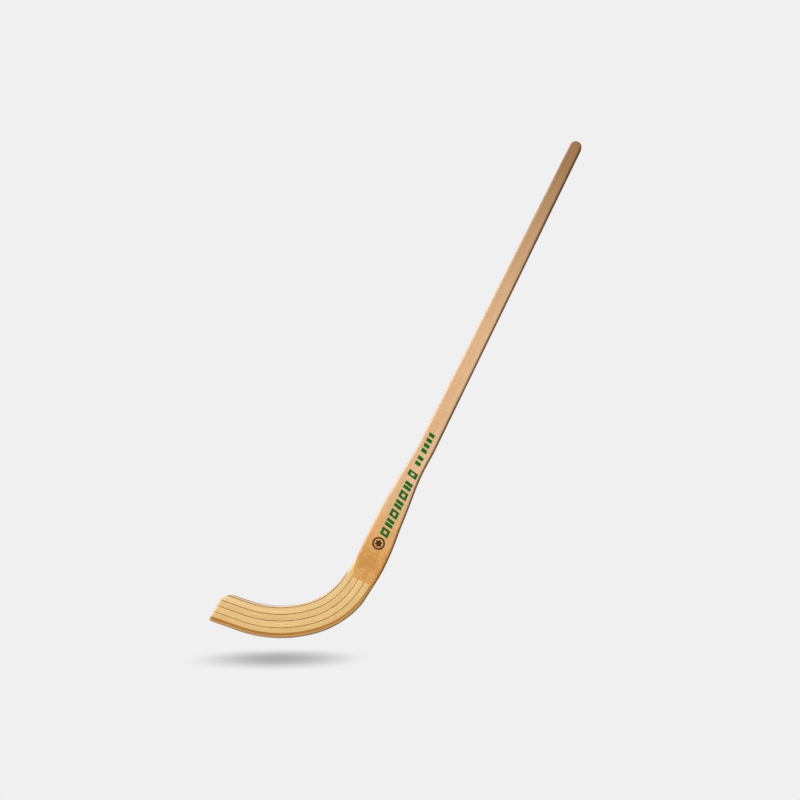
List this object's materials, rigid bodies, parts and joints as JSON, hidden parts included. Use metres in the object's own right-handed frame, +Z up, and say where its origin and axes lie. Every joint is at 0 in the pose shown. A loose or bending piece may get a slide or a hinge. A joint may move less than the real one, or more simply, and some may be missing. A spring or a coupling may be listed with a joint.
{
  "type": "bandy stick",
  "caption": "Laminated wooden bandy stick: straight tapering shaft spliced to a flat hooked blade of bent laminations with dark layers, an inlay and a wear strip along the sole.",
  "frame": {"origin": "the point of the sole that touches the ice, midway through the shaft's thickness", "axes": "+Z up, +X from the toe towards the heel and shaft, +Y from the printed front face to the back; the stick lies in the XZ plane, with the shaft leaning 63.4 degrees from +X"},
  "size_m": [0.6835, 0.02, 0.9041],
  "materials": {
    "shaft_wood": "lacquered pale hardwood, fine straight grain, amber towards the heel",
    "core_wood": "lacquered brown hardwood",
    "blade_wood": "lacquered pale yellow wood with fine cross grain",
    "dark_wood": "lacquered dark brown wood",
    "wear_wood": "lacquered mid-brown wood, scuffed on the sole",
    "fibre_sheet": "brown vulcanised fibre, lacquered",
    "green_ink": "printed green ink",
    "brown_ink": "printed brown ink"
  },
  "bodies": {
    "root": {"shaft_cheek_front": "shaft_wood", "shaft_cheek_back": "shaft_wood", "shaft_core_stave": "core_wood", "blade_lamella_1": "blade_wood", "blade_lamella_2": "blade_wood", "blade_lamella_3": "blade_wood", "blade_lamella_4": "blade_wood", "fibre_layer_1": "fibre_sheet", "fibre_layer_2": "fibre_sheet", "fibre_layer_3": "fibre_sheet", "inner_edge_band": "fibre_sheet", "inner_edge_facing": "blade_wood", "dark_inlay": "dark_wood", "sole_wear_strip": "wear_wood", "print_large_marks": "green_ink", "print_small_marks": "green_ink", "print_roundel": "brown_ink"}
  },
  "joints": []
}
